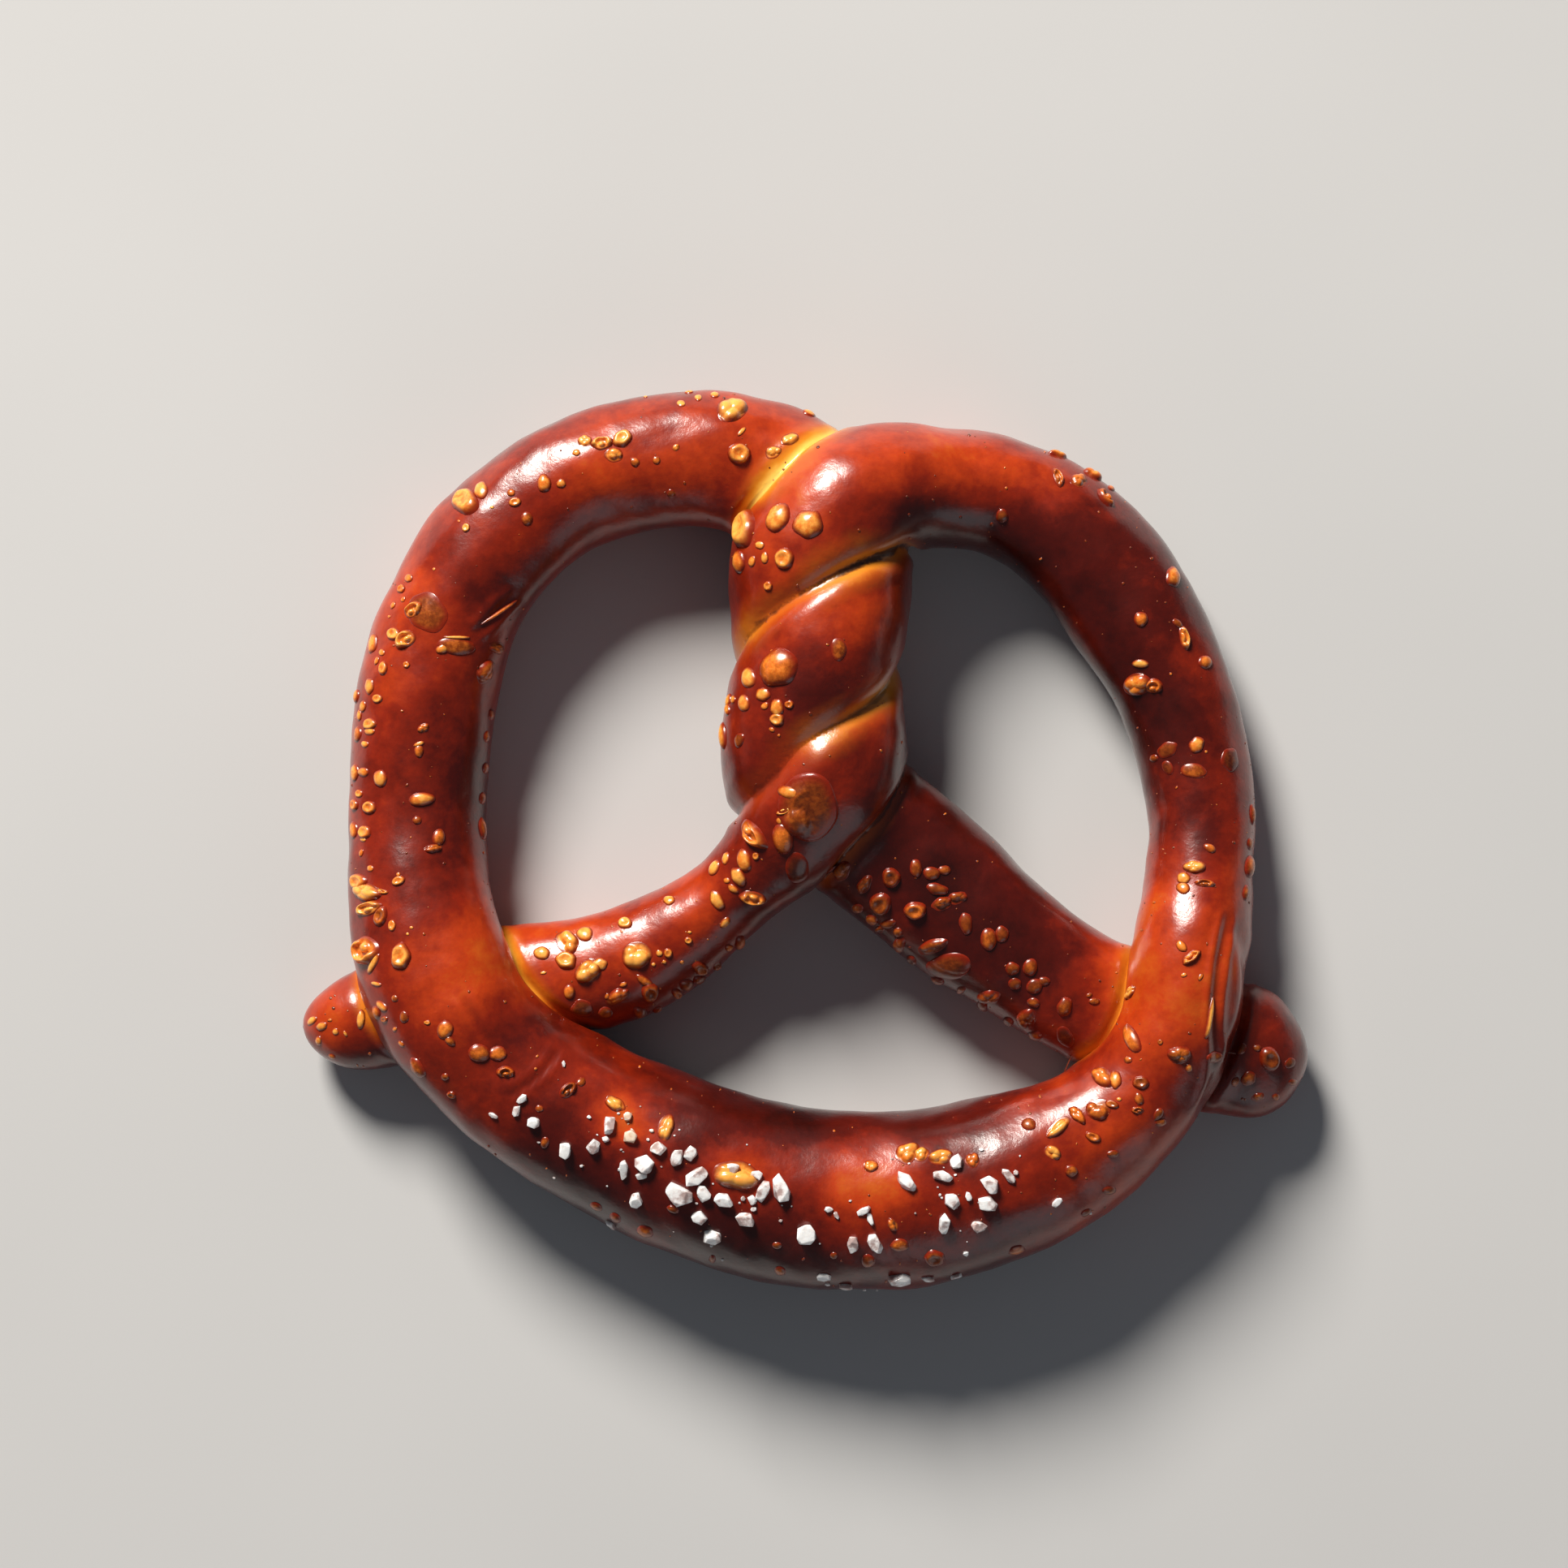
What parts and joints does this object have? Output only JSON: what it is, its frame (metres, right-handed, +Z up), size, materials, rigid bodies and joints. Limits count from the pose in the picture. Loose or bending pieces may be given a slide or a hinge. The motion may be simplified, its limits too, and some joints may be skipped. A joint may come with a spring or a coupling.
{
  "type": "soft pretzel",
  "caption": "Soft pretzel: a browned rope of dough twisted at the middle into open loops, with a thick lower bow, crossed ends, blistered crust and coarse salt.",
  "frame": {"origin": "on the surface that the pretzel lies on, under the middle of its outline", "axes": "+X to the right along its width, +Y towards the upper loops, +Z up out of its shown face"},
  "size_m": [0.1606, 0.143, 0.0274],
  "materials": {
    "crust": null,
    "salt": "white, slightly see-through coarse salt crystals, fused to the crust in the solid"
  },
  "bodies": {
    "root": {"pretzel": "crust"}
  },
  "joints": []
}
